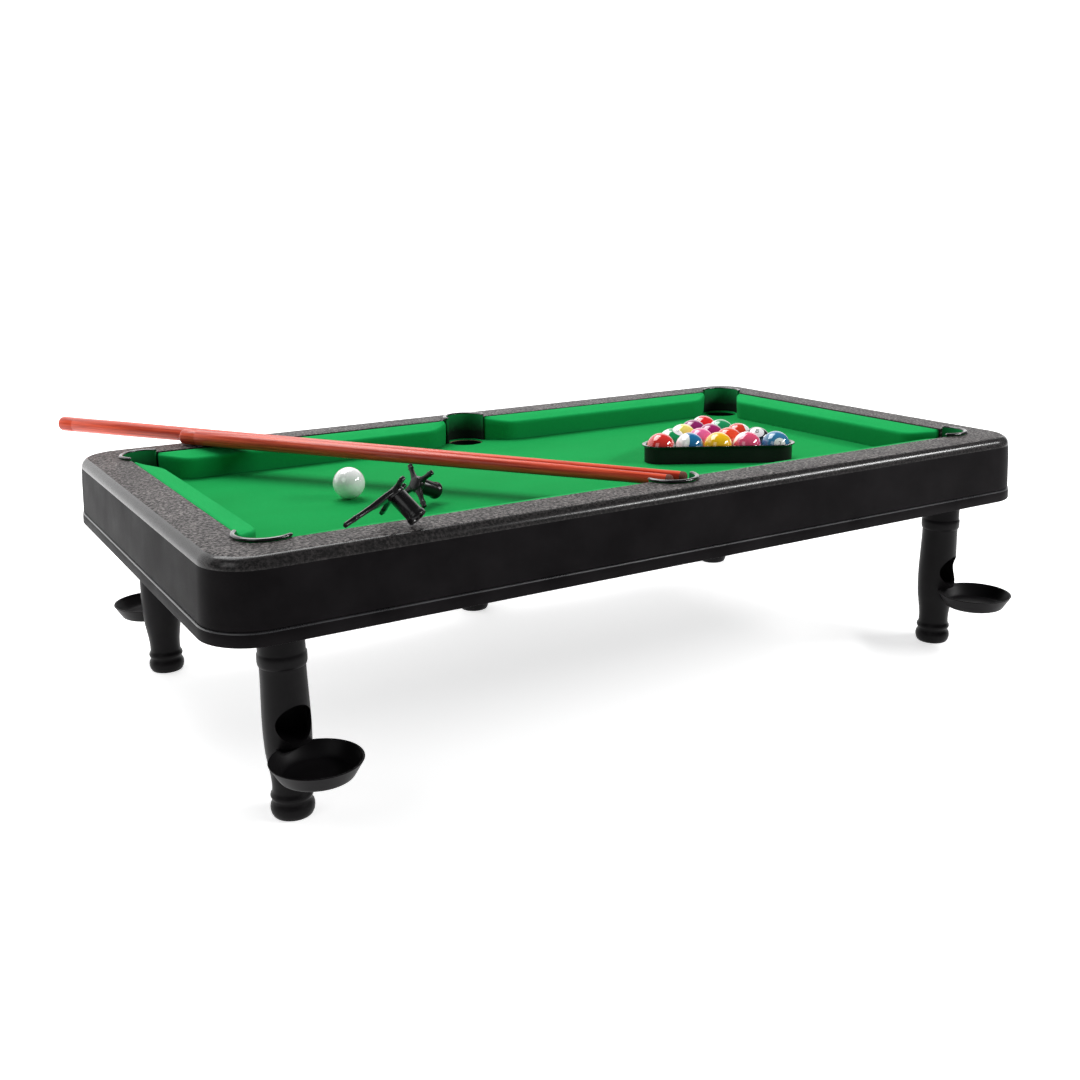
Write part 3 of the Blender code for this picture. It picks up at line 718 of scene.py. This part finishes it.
def cushion(name, at, turn, length, phase):
    """A rubber cushion under tight cloth, which puckers a little towards its ends."""
    half = length / 2
    ends = cushion_end()
    flat = length - 2 * ends[-1].x
    count = round(flat / (5 * MM))
    stations = [(e.x - half, e.y) for e in ends]
    stations += [(flat * (i / count - 0.5), CUSHION_W) for i in range(1, count)]
    stations += [(half - e.x, e.y) for e in reversed(ends)]
    sections = []
    for x, width in stations:
        from_end = half - abs(x)
        squeeze = 0
        if from_end < CUSHION_END_R:
            short = CUSHION_END_R - from_end
            squeeze = CUSHION_END_R - math.sqrt(max(0, CUSHION_END_R ** 2 - short ** 2))
        pucker = 1 + 2.2 * math.exp(-from_end / (22 * MM))
        wave = ripple(x, phase) * pucker * min(1, from_end / (3 * MM))
        section = cushion_section(width, 1 - squeeze / CUSHION_HALF_H, wave)
        sections.append([(x, y, z) for y, z in section])
    obj = solid(name + "_cloth", loft(sections), CUSHION_CLOTH_PAINTED_LIGHT_AND_SHADE, sharp=50)
    obj.location = (*at, 0)
    obj.rotation_euler = (0, 0, turn)
    place(obj, "table", "felt", name)


def cushions():
    """Two cushions along each long side and one across each end, clear of the pockets."""
    side_start = RIM_R + RIM_T + CUSHION_PAST_MIDDLE_RIM
    side_end = POCKET_X - CUSHION_PAST_CORNER_X
    side_at = (side_start + side_end) / 2
    back_y = INNER_Y - GAP
    back_x = INNER_X - GAP
    side_length = side_end - side_start
    end_length = 2 * (POCKET_Y - CUSHION_PAST_CORNER_Y)
    cushion("cushion_front_left", (-side_at, -back_y), 0, side_length, 0.4)
    cushion("cushion_front_right", (side_at, -back_y), 0, side_length, 1.9)
    cushion("cushion_back_left", (-side_at, back_y), math.pi, side_length, 2.7)
    cushion("cushion_back_right", (side_at, back_y), math.pi, side_length, 3.8)
    cushion("cushion_left", (-back_x, 0), -math.pi / 2, end_length, 4.6)
    cushion("cushion_right", (back_x, 0), math.pi / 2, end_length, 5.5)


def swept(profile, start, end, steps):
    """Sweep a closed (radius, z) profile round the Z axis between two angles in degrees."""
    turns = [math.radians(start + (end - start) * i / steps) for i in range(steps + 1)]
    return loft([[(r * math.cos(a), r * math.sin(a), z) for r, z in profile] for a in turns])


def rolled_lip(radius, z, wide, high, start, end, steps):
    """An oval bead bent along an arc, with rounded ends."""
    bulge = [0.0, 0.35, 0.7, 0.92, 1.0]
    reach = math.degrees(wide / radius)
    lead = [(start - reach * math.sqrt(1 - b * b), max(b, 0.04)) for b in bulge[:-1]]
    tail = [(end + reach * math.sqrt(1 - b * b), max(b, 0.04)) for b in reversed(bulge[:-1])]
    run = lead + [(start + (end - start) * i / steps, 1.0) for i in range(steps + 1)] + tail
    rings = []
    for angle, size in run:
        a = math.radians(angle)
        ring = []
        for i in range(20):
            t = 2 * math.pi * i / 20
            r = radius + wide * size * math.cos(t)
            ring.append((r * math.cos(a), r * math.sin(a), z + high * size * math.sin(t)))
        rings.append(ring)
    return loft(rings)


def pocket_rim(name, at, facing, sweep):
    """A flocked wall round the back of a pocket, with a glossy rolled lip along its top."""
    start, end = facing - sweep / 2, facing + sweep / 2
    outer = RIM_R + RIM_T
    low, high = CLOTH_TOP + GAP, RAIL_TOP + 1.4 * MM
    wall = [(RIM_R, low), (outer, low), (outer, RAIL_TOP), (outer - 0.4 * MM, high), (RIM_R, high)]
    bm = bmesh.new()
    into(bm, swept(wall, start, end, 56), 0)
    lip = rolled_lip(RIM_R + LIP_HALF_W, RAIL_TOP + LIP_RISE, LIP_HALF_W, LIP_HALF_H,
                     start + LIP_SHORT, end - LIP_SHORT, 56)
    into(bm, lip, 1)
    obj = solid("pocket_lip_" + name, bm, FLOCK, GLOSS)
    obj.location = (*at, 0)
    place(obj, "table", "gloss_black", "pocket_rim_" + name)


def circle(centre, radius, z, segments=56):
    """Points round a level circle."""
    turns = (2 * math.pi * i / segments for i in range(segments))
    return [(centre[0] + radius * math.cos(a), centre[1] + radius * math.sin(a), z) for a in turns]


def pocket_chute(name, pocket, leg_at):
    """A sleeve through the bed that widens into a funnel above the leg."""
    wall = CHUTE_WALL
    sleeve = HOLE_R - GAP
    between = (pocket[0], (pocket[1] + leg_at[1]) / 2)
    under = BED_UNDER - GAP
    stations = [(pocket, sleeve, CHUTE_TOP), (pocket, sleeve, under), (between, FUNNEL_R, under),
                (between, FUNNEL_R, under - 2 * MM), (leg_at, LEG_BORE_R + wall, LEG_TOP + GAP),
                (leg_at, LEG_BORE_R, LEG_TOP + GAP), (between, FUNNEL_R - wall, under - 2 * MM),
                (pocket, sleeve - wall, under - wall), (pocket, sleeve - wall, CHUTE_TOP)]
    obj = solid("chute_" + name, loft([circle(*s) for s in stations], True), SATIN)
    place(obj, "table", "satin_black", "pocket_chute_" + name)


def pocket_cup(name, pocket):
    """A closed cup under a pocket that has no leg."""
    outer, inner = HOLE_R - GAP, HOLE_R - GAP - CHUTE_WALL
    low, high = PAN_T + GAP, CHUTE_TOP
    profile = [(0, low), (outer - MM, low), (outer, low + MM), (outer, high), (inner, high),
               (inner, low + 4 * MM), (inner - MM, low + 2 * MM), (inner - 3 * MM, low + 1.5 * MM),
               (0, low + 1.5 * MM)]
    obj = solid("cup_" + name, turned(profile), SATIN)
    obj.location = (*pocket, 0)
    place(obj, "table", "satin_black", "pocket_cup_" + name)


def pockets():
    """Every pocket's wall and lip, with the chute or cup below it."""
    for name, (x, y, facing) in POCKETS.items():
        middle = name.endswith("middle")
        pocket_rim(name, (x, y), facing, MIDDLE_SWEEP if middle else CORNER_SWEEP)
        if name in LEGS:
            pocket_chute(name, (x, y), LEGS[name][:2])
        else:
            pocket_cup(name, (x, y))


def leg(name, at, facing):
    """A turned leg with rings at its collar and foot, an exit hole and a slot for its dish."""
    collar = [(15.2, 14.5), (15.2, -20.5), (15.35, -21.2), (15.9, -22.2), (16.0, -24.5), (15.95, -27.5),
              (15.6, -29.2), (14.95, -29.9)]
    shaft = flowing([(14.85, -31), (14.9, -38), (15.3, -52), (15.7, -68), (15.55, -80), (15.0, -90),
                     (13.9, -98), (12.9, -105), (12.4, -111.5), (12.5, -116)], 4)
    foot = [(12.9, -117.2), (13.7, -118.4), (13.95, -119.6), (13.6, -120.8), (12.9, -121.7),
            (12.75, -122.8), (13.3, -124.2), (14.1, -125.6), (14.45, -127.4), (14.4, -129.4),
            (13.9, -131.6), (13.0, -133.4), (12.4, -134)]
    bore = [(0, -81), (8, -80.6), (13.2, -79.4), (13.2, 14.0), (13.7, 14.5)]
    outside = bore + collar + [(v.x, v.y) for v in shaft] + foot + [(0, -134)]
    profile = [(r * MM, z * MM) for r, z in outside]
    obj = solid("turned_leg_" + name, turned(profile, 72), SATIN)
    obj.location = (*at, 0)
    obj.rotation_euler = (0, 0, math.radians(facing))
    bpy.context.view_layer.update()
    exit_hole = cylinder(EXIT_R, 0, 25 * MM, 64)
    sideways = Matrix.Translation((0, 0, EXIT_Z)) @ Matrix.Rotation(math.pi / 2, 4, "Y")
    bmesh.ops.transform(exit_hole, matrix=sideways, verts=exit_hole.verts)
    slot = cylinder(DISH_FOOT_R + 0.5 * MM, DISH_RIM_Z - DISH_H - 0.5 * MM, DISH_RIM_Z + 0.5 * MM, 96,
                    (DISH_OFFSET, 0), DISH_R + 0.8 * MM)
    cut(obj, [exit_hole, slot], 32)
    place(obj, "leg_" + name, "satin_black", "leg_" + name)


def ball_dish(name, at, facing):
    """An open dish with a thin rolled rim, a flat floor and a foot ring."""
    low, high = DISH_RIM_Z - DISH_H, DISH_RIM_Z
    under = [(0, low + 0.5 * MM), (DISH_FOOT_R - 3 * MM, low + 0.5 * MM), (DISH_FOOT_R - 2.6 * MM, low)]
    side = flowing([(DISH_FOOT_R - 0.8 * MM, low), (DISH_FOOT_R + 0.5 * MM, low + 0.9 * MM),
                    (DISH_FOOT_R + 3.1 * MM, low + 5.2 * MM), (DISH_R - 0.35 * MM, high - 1.1 * MM)], 4)
    rim = [(DISH_R, high - 0.55 * MM), (DISH_R - 0.1 * MM, high - 0.15 * MM), (DISH_R - 0.45 * MM, high),
           (DISH_R - 0.95 * MM, high - 0.12 * MM), (DISH_R - 1.35 * MM, high - 0.6 * MM)]
    inside = flowing([(DISH_R - 1.7 * MM, high - 1.5 * MM), (DISH_FOOT_R + 1.0 * MM, low + 4.6 * MM),
                      (DISH_FOOT_R - 1.6 * MM, low + 2.0 * MM),
                      (DISH_FOOT_R - 3.4 * MM, low + 1.6 * MM)], 4)
    floor = [(DISH_FOOT_R - 5 * MM, low + 1.55 * MM), (0, low + 1.5 * MM)]
    profile = under + [(v.x, v.y) for v in side] + rim + [(v.x, v.y) for v in inside] + floor
    obj = solid("catch_dish_" + name, turned(profile, 96), SATIN, sharp=40)
    turn = math.radians(facing)
    obj.location = (at[0] + DISH_OFFSET * math.cos(turn), at[1] + DISH_OFFSET * math.sin(turn), 0)
    place(obj, "leg_" + name, "satin_black", "dish_" + name)


# ---------------------------------------------------------------- game set

def cue(name, butt, tip):
    """A tapered, varnished cue with a ring cut round its butt and a leather tip."""
    butt, tip = Vector(butt) * MM, Vector(tip) * MM
    along = tip - butt
    length = along.length - CUE_TIP_LENGTH
    groove = CUE_BUTT_R - 0.12 * MM
    shaft = [(0, 0), (CUE_BUTT_R - 2.2 * MM, 0.05 * MM), (CUE_BUTT_R - 1.1 * MM, 0.3 * MM),
             (CUE_BUTT_R - 0.4 * MM, 0.9 * MM), (CUE_BUTT_R, 2.2 * MM), (CUE_BUTT_R, 15 * MM),
             (groove, 15.3 * MM), (groove, 15.9 * MM), (CUE_BUTT_R, 16.2 * MM),
             (CUE_BUTT_R, length * 0.12), (CUE_TIP_R, length - 0.3 * MM),
             (CUE_TIP_R - 0.2 * MM, length), (0, length)]
    end = [(0, length + 0.05 * MM), (CUE_TIP_R - 0.1 * MM, length + 0.05 * MM),
           (CUE_TIP_R + 0.05 * MM, length + MM), (CUE_TIP_R - 0.1 * MM, length + 2.6 * MM),
           (CUE_TIP_R * 0.85, length + 3.8 * MM), (CUE_TIP_R * 0.55, length + 4.7 * MM),
           (0, along.length)]
    turn = along.to_track_quat("Z", "Y").to_euler()
    body = solid(name + "_shaft", turned(shaft, 40), WOOD)
    leather = solid(name + "_leather", turned(end, 40), TIP)
    for obj, slot, node in ((body, "cue_red", name), (leather, "leather", name + "_tip")):
        obj.location = butt
        obj.rotation_euler = turn
        place(obj, name, slot, node)


def rack_outline(inset):
    """Points round a triangle with rounded corners; inset 0 is the balls' own outline."""
    reach = 2 * RACK_PITCH
    height = 4 * RACK_PITCH * math.sin(math.pi / 3)
    radius = BALL_R + GAP + inset
    points = []
    for x, y, start in ((reach, 0, -90), (0, height, 30), (-reach, 0, 150)):
        for step in range(17):
            angle = math.radians(start + 120 * step / 16)
            points.append((x + radius * math.cos(angle), y + radius * math.sin(angle)))
    return points


def rack():
    """The triangle: a thin wall with a foot bead and an outward flange along its top."""
    low = CLOTH_TOP + GAP
    levels = [(0.15, 0.0), (RACK_WALL / MM - 0.15, 0.0), (1.5, 0.3), (1.5, 12.6), (1.6, 13.2),
              (2.0, 13.7), (2.7, 14.1), (3.4, 14.35), (3.65, 14.7), (3.65, 15.2), (3.4, 15.5),
              (0.3, 15.5), (0.0, 15.2), (0.0, 0.2)]
    rings = [[(x, y, low + z * MM) for x, y in rack_outline(inset * MM)] for inset, z in levels]
    obj = solid("rack_triangle", loft(rings, True), MATT, GLOSS, sharp=50)
    for face in obj.data.polygons:
        if face.center.z > low + 13 * MM:
            face.material_index = 1
    obj.location = (*RACK_FRONT, 0)
    obj.rotation_euler = (0, 0, RACK_TURN)
    place(obj, "rack", "gloss_black", "rack")


def seen(direction):
    """A direction given as (right, up, towards the viewer), in the part's own frame."""
    return (TO_RIGHT * direction[0] + UP * direction[1] + TO_VIEWER * direction[2]).normalized()


def spot(bm, towards, angle, material):
    """A round cap just proud of the ball's surface."""
    side = towards.orthogonal().normalized()
    across = towards.cross(side)
    radius = BALL_R + SPOT_PROUD
    segments = 40
    turns = [2 * math.pi * i / segments for i in range(segments)]
    outward = [side * math.cos(t) + across * math.sin(t) for t in turns]
    rows = []
    for ring in range(1, 5):
        tilt = math.radians(angle * ring / 4)
        rows.append([bm.verts.new((towards * math.cos(tilt) + away * math.sin(tilt)) * radius)
                     for away in outward])
    centre = bm.verts.new(towards * radius)
    for i in range(segments):
        j = (i + 1) % segments
        bm.faces.new((centre, rows[0][i], rows[0][j])).material_index = material
        for row, after in zip(rows, rows[1:]):
            bm.faces.new((row[i], after[i], after[j], row[j])).material_index = material


def number(bm, text, towards, size, material):
    """Digits wrapped onto the ball, upright."""
    curve = bpy.data.curves.new("digits", "FONT")
    curve.body = text
    curve.size = size
    curve.align_x = "CENTER"
    curve.align_y = "CENTER"
    holder = bpy.data.objects.new("digits", curve)
    bpy.context.scene.collection.objects.link(holder)
    bpy.context.view_layer.update()
    graph = bpy.context.evaluated_depsgraph_get()
    flat = bpy.data.meshes.new_from_object(holder.evaluated_get(graph))
    bpy.data.objects.remove(holder)
    bpy.data.curves.remove(curve)
    glyphs = bmesh.new()
    glyphs.from_mesh(flat)
    bpy.data.meshes.remove(flat)
    bmesh.ops.subdivide_edges(glyphs, edges=glyphs.edges, cuts=2, use_grid_fill=True)
    upward = (UP - towards * UP.dot(towards))
    upward = upward.normalized() if upward.length > 0.1 else towards.orthogonal().normalized()
    across = upward.cross(towards)
    for vert in glyphs.verts:
        flat_at = towards * BALL_R + across * vert.co.x + upward * vert.co.y
        vert.co = flat_at.normalized() * (BALL_R + NUMBER_PROUD)
    into(bm, glyphs, material)


def ball(name, at, colour, digits="", striped=False, pole=(0, 1, 0), facing=(0, 0, 1)):
    """A ball; a striped one is white with a coloured band, and each racked one has a number spot."""
    bm = bmesh.new()
    bmesh.ops.create_uvsphere(bm, u_segments=48, v_segments=24, radius=BALL_R)
    edge = BALL_R * math.sin(math.radians(STRIPE_HALF))
    if striped:
        for face in bm.faces:
            if abs(face.calc_center_median().z) > edge:
                face.material_index = 1
    upright = seen(pole).to_track_quat("Z", "Y").to_matrix().to_4x4()
    bmesh.ops.transform(bm, matrix=upright, verts=bm.verts)
    bmesh.ops.recalc_face_normals(bm, faces=bm.faces)
    if digits:
        towards = seen(facing)
        if striped:
            axis = seen(pole)
            towards = (towards - axis * towards.dot(axis)).normalized()
        wide = BIG_SPOT_HALF if name == "black" else SPOT_HALF
        spot(bm, towards, wide, 1)
        height = ONE_DIGIT if len(digits) == 1 else TWO_DIGITS
        number(bm, digits, towards, wide / SPOT_HALF * height, 2)
    paint = ball_gloss("ball_" + name, colour) if name != "cue" else WHITE
    obj = solid("game_ball_" + name, bm, paint, WHITE, NUMBER, sharp=60, recalculate=False)
    obj.location = (*at, BALL_Z)
    place(obj, "ball_" + name, "ball_" + name, "ball_" + name)


def balls():
    """Fifteen balls in the rack, and the cue ball."""
    along = Vector((math.cos(RACK_TURN), math.sin(RACK_TURN)))
    behind = Vector((-along.y, along.x)) * math.sin(math.pi / 3)
    for row, racked in enumerate(RACKED):
        for column, (name, colour, digits, striped, pole, facing) in enumerate(racked):
            offset = (column - (len(racked) - 1) / 2) * RACK_PITCH
            at = RACK_FRONT + along * offset + behind * row * RACK_PITCH
            ball(name, at, colour, digits, striped, pole, facing)
    ball("cue", CUE_BALL_AT, IVORY)


def arm(reach, wide):
    """A flat tapered arm along +X with a waist, a collar and a blunt tip, given in millimetres."""
    narrow = 3.2
    stations = [(2.5, wide), (0.2 * reach, wide), (0.34 * reach, wide * 0.74),
                (0.48 * reach, narrow + 0.5), (0.6 * reach, narrow), (0.76 * reach, narrow),
                (0.78 * reach, narrow + 1.1), (0.82 * reach, narrow + 1.1),
                (0.84 * reach, narrow + 0.2), (0.95 * reach, narrow + 0.4),
                (reach - 0.5, narrow + 0.9), (reach, narrow)]
    rings = []
    for i, (x, width) in enumerate(stations):
        thick = 3.7 - 0.9 * x / reach
        if i == len(stations) - 1:
            thick *= 0.7
        outline = rounded_rectangle(width / 2 * MM, thick / 2 * MM, 0.9 * MM, 4)
        rings.append([(x * MM, a, b) for a, b in outline])
    return loft(rings)


def rest_head(name, at, aim, first, reaches):
    """A cross rest for a cue: a flared socket and four tapered arms spread from its hub."""
    socket = [(4.0, 3), (5.6, 3), (5.9, 3.6), (5.9, 17.6), (6.0, 18.6), (6.4, 19.6), (6.6, 20.3),
              (6.6, 22.0), (6.3, 22.5), (4.5, 22.5), (4.0, 21.9)]
    hub = [(0, -2.2), (4.6, -2.2), (5.6, -1.7), (6.2, -0.6), (6.4, 0.8), (6.2, 2.6), (5.4, 3.3),
           (0, 3.4)]
    bm = bmesh.new()
    into(bm, turned([(r * MM, z * MM) for r, z in socket], 48))
    into(bm, turned([(r * MM, z * MM) for r, z in hub], 48))
    for quarter, reach in enumerate(reaches):
        blade = arm(reach, WIDE_ARM if reach > LONG_ARM else NARROW_ARM)
        quarter_turn = Matrix.Rotation(math.pi / 2 * quarter, 3, "Z")
        bmesh.ops.rotate(blade, verts=blade.verts, matrix=quarter_turn)
        into(bm, blade)
    obj = solid(name + "_moulding", bm, REST, sharp=48)
    z_axis = Vector(aim).normalized()
    y_axis = z_axis.cross(Vector(first)).normalized()
    obj.location = Vector(at) * MM
    obj.rotation_euler = Matrix((y_axis.cross(z_axis), y_axis, z_axis)).transposed().to_euler()
    place(obj, name, "gloss_black", name)


# ---------------------------------------------------------------- studio

# The paper's extent, and the curve by which it turns up behind the table
FLOOR_HALF_WIDTH = 8
FLOOR_FRONT = -7
SWEEP_START = 1.2
SWEEP_R = 2.2
BACKDROP_TOP = 6
WORLD_LIGHT = 0.11
# Each light: where it is, what it faces, its size and its power in watts
SOFTBOXES = {
    "key": ((-0.2, 0.72, 1.5), (0, 0, 0.03), (1.5, 0.9), 26),
    "right_strip": ((1.08, -1.0, 0.82), (0.1, -0.18, 0.05), (1.0, 0.16), 17),
    "left_fill": ((-1.7, -0.7, 1.1), (0, 0, 0), (1.0, 1.0), 5),
}
# Where the camera stands; its bearing from +Y towards +X, downward pitch and roll in radians
CAMERA_AT = (-0.5247, -0.8504, 0.2435)
CAMERA_AZIMUTH = 0.5397
CAMERA_PITCH = 0.267
CAMERA_ROLL = -0.0145
LENS = 40.055


def studio_floor():
    """Pale paper that sweeps up behind the table."""
    turns = (math.pi / 2 * i / 24 for i in range(1, 25))
    sweep = [(SWEEP_START + SWEEP_R * math.sin(t), SWEEP_R - SWEEP_R * math.cos(t)) for t in turns]
    rows = [(FLOOR_FRONT, 0), (SWEEP_START, 0)] + sweep + [(SWEEP_START + SWEEP_R, BACKDROP_TOP)]
    bm = bmesh.new()
    left = [bm.verts.new((-FLOOR_HALF_WIDTH, y, FLOOR + z)) for y, z in rows]
    right = [bm.verts.new((FLOOR_HALF_WIDTH, y, FLOOR + z)) for y, z in rows]
    for i in range(len(rows) - 1):
        bm.faces.new((left[i], right[i], right[i + 1], left[i + 1]))
    solid("studio_floor", bm, studio_floor_material())


def softbox(name, at, aim, size, watts):
    """A white rectangular light."""
    light = bpy.data.lights.new(name, "AREA")
    light.shape = "RECTANGLE"
    light.size, light.size_y = size
    light.energy = watts
    obj = bpy.data.objects.new(name, light)
    obj.location = at
    obj.rotation_euler = (Vector(aim) - Vector(at)).to_track_quat("-Z", "Y").to_euler()
    bpy.context.scene.collection.objects.link(obj)


def lights():
    """A large light over the back, a strip at the front right, a weak fill and a dim surround."""
    world = bpy.data.worlds.new("studio_world")
    world.use_nodes = True
    background = world.node_tree.nodes["Background"]
    background.inputs["Color"].default_value = (0.95, 0.97, 1, 1)
    background.inputs["Strength"].default_value = WORLD_LIGHT
    bpy.context.scene.world = world
    for name, (at, aim, size, watts) in SOFTBOXES.items():
        softbox(name, at, aim, size, watts)


def camera():
    """The view from the front left, a little above the table."""
    level = math.cos(CAMERA_PITCH)
    ahead = Vector((math.sin(CAMERA_AZIMUTH) * level, math.cos(CAMERA_AZIMUTH) * level,
                    -math.sin(CAMERA_PITCH)))
    right = Vector((math.cos(CAMERA_AZIMUTH), -math.sin(CAMERA_AZIMUTH), 0))
    above = right.cross(ahead)
    x_axis = right * math.cos(CAMERA_ROLL) + above * math.sin(CAMERA_ROLL)
    y_axis = above * math.cos(CAMERA_ROLL) - right * math.sin(CAMERA_ROLL)
    data = bpy.data.cameras.new("camera")
    data.lens = LENS
    data.sensor_width = 36
    data.clip_start = 0.01
    data.clip_end = 50
    obj = bpy.data.objects.new("camera", data)
    turn = Matrix((x_axis, y_axis, -ahead)).transposed().to_4x4()
    obj.matrix_world = Matrix.Translation(CAMERA_AT) @ turn
    bpy.context.scene.collection.objects.link(obj)
    bpy.context.scene.camera = obj


def build():
    """Make every piece, then the studio."""
    rail_frame()
    base_pan()
    bed_cloth()
    cushions()
    pockets()
    for name, (x, y, facing) in LEGS.items():
        leg(name, (x, y), facing)
        ball_dish(name, (x, y), facing)
    for name, (butt, tip) in CUES.items():
        cue(name, butt, tip)
    rack()
    balls()
    for name, pose in REST_HEADS.items():
        rest_head(name, *pose)
    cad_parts["playing_bed"].data.materials[0] = BOARD
    studio_floor()
    lights()
    camera()
    bpy.context.scene.view_settings.view_transform = "Standard"


build()
